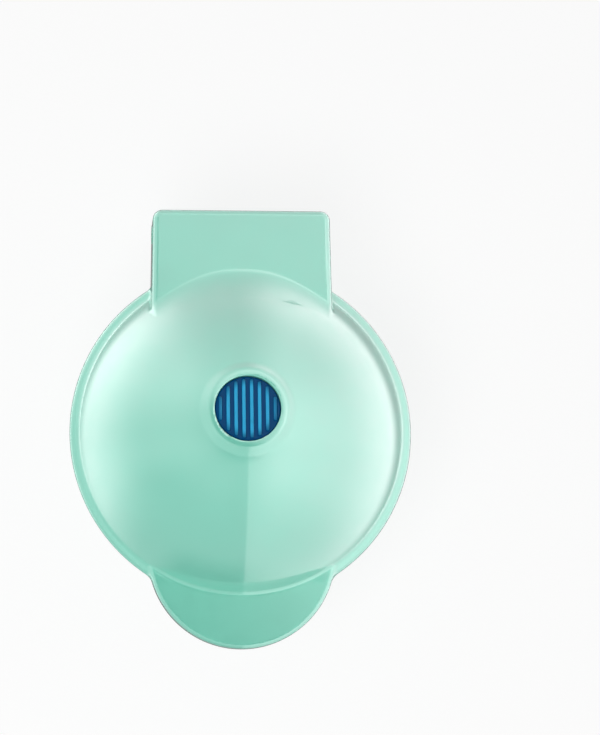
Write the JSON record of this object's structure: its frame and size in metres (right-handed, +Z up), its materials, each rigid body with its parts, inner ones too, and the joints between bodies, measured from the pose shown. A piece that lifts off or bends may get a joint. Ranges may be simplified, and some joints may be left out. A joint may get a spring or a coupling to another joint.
{
  "type": "electric pie maker",
  "caption": "Round countertop pie maker with a domed hinged lid, indicator window, handle tabs and crimping plates.",
  "frame": {"origin": "on the table, under the middle of the round body, about 1 mm in front of the middle of the whole", "axes": "+Z up, +Y towards the hinge block at the back, -Y towards the handle tabs, +X to the right seen from the front"},
  "size_m": [0.127, 0.1623, 0.0962],
  "materials": {
    "mint_plastic": "gloss moulded, pale mint green",
    "plate_metal": "die cast with a dark non-stick coating",
    "heater_sheath": "heat-tinted steel sheath",
    "zinc_steel": "bright zinc plated sheet and screws",
    "pin_steel": "ground steel pin",
    "phenolic": "brown phenolic moulding",
    "fuse_body": "tinned can",
    "lead_sleeve": "white heat-resistant sleeve",
    "white_nylon": "natural white nylon",
    "grey_rubber": "matt dark grey rubber",
    "blue_window": "deep blue tinted window with ribs",
    "lamp_glass": "clear glass"
  },
  "bodies": {
    "base": {"base_shell": "mint_plastic", "base_liner": "mint_plastic", "lower_plate": "plate_metal", "lower_heater": "heater_sheath", "lower_heater_clamp": "zinc_steel", "lower_clamp_screws": "zinc_steel", "base_heat_shield": "zinc_steel", "lower_plate_screws": "zinc_steel", "thermostat": "phenolic", "thermostat_bracket": "zinc_steel", "thermal_fuse": "fuse_body", "fuse_clip": "zinc_steel", "base_leads": "lead_sleeve", "base_crimps": "zinc_steel", "cord_gland": "white_nylon", "base_screws": "zinc_steel", "rubber_feet": "grey_rubber"},
    "lid": {"lid_shell": "mint_plastic", "lid_liner": "mint_plastic", "upper_plate": "plate_metal", "upper_heater": "heater_sheath", "upper_heater_clamp": "zinc_steel", "upper_clamp_screws": "zinc_steel", "lid_heat_shield": "zinc_steel", "upper_plate_screws": "zinc_steel", "indicator_lens": "blue_window", "lamp_holder": "white_nylon", "lamp_holder_screws": "zinc_steel", "pilot_lamp": "lamp_glass", "lid_leads": "lead_sleeve", "lid_crimps": "zinc_steel", "lid_screws": "zinc_steel", "hinge_pin_left": "pin_steel", "hinge_pin_right": "pin_steel", "hinge_cap_left": "mint_plastic", "hinge_cap_right": "mint_plastic"}
  },
  "joints": [
    {"name": "lid_hinge", "type": "hinge", "parent": "base", "child": "lid", "pos_m": [0, 0.0742, 0.0605], "axis": [-1, 0, 0], "range_deg": [0, 100]}
  ]
}
